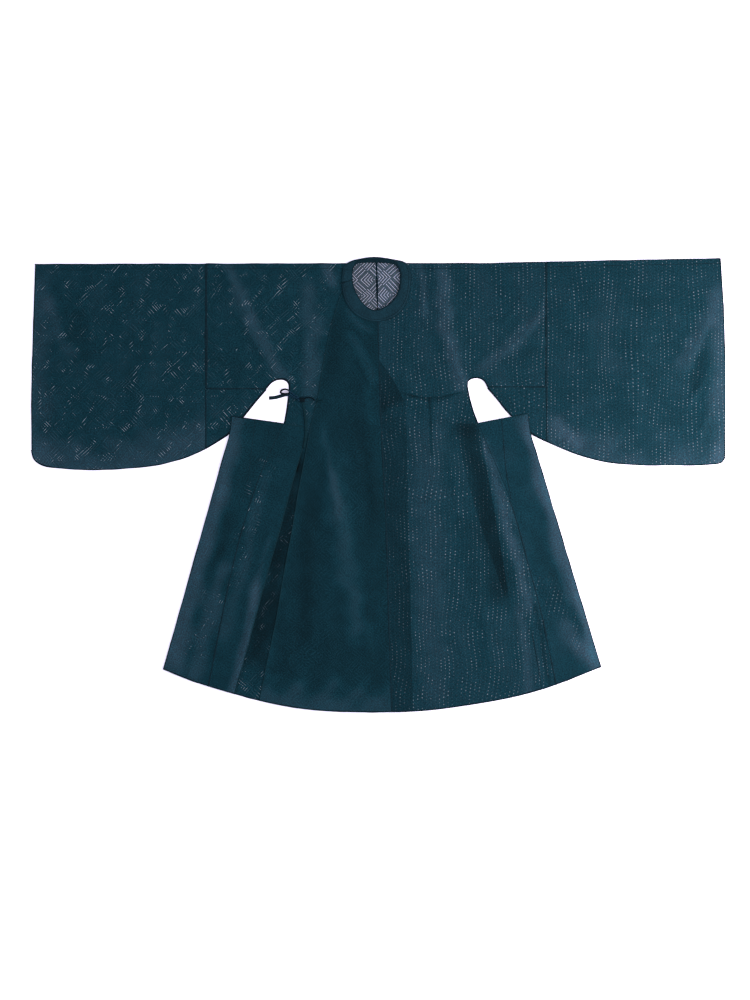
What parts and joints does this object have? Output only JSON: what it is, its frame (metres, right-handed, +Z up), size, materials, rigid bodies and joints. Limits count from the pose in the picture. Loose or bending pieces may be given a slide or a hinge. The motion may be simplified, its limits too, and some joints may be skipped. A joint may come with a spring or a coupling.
{
  "type": "hanfu robe",
  "caption": "Round-collared wide-sleeved robe of sheer figured gauze with folded side panels and a side tie, laid out flat with its front up.",
  "frame": {"origin": "on the surface that the robe lies on, below the middle of its outline", "axes": "+X towards the wearer's left sleeve, which is on the right as seen from above with the collar away, +Y towards the collar, +Z up from the surface"},
  "size_m": [1.9819, 1.2996, 0.0096],
  "materials": {
    "robe gauze": "sheer figured silk gauze, matt with a faint sheen",
    "collar gauze": "the same gauze doubled, smooth and matt",
    "tie gauze": "the same gauze folded narrow, matt"
  },
  "bodies": {
    "root": {"back_left": "robe gauze", "back_right": "robe gauze", "front_left": "robe gauze", "overlap_inner": "robe gauze", "front_right": "robe gauze", "overlap_outer": "robe gauze", "sleeve_left": "robe gauze", "sleeve_right": "robe gauze", "underarm_left": "robe gauze", "underarm_right": "robe gauze", "side_panel_left": "robe gauze", "side_panel_right": "robe gauze", "collar": "collar gauze", "tie_knot": "tie gauze", "tie_flap": "tie gauze", "tie_loop": "tie gauze", "tie_tail_side": "tie gauze", "tie_tail_down": "tie gauze", "tie_inside": "tie gauze"}
  },
  "joints": []
}
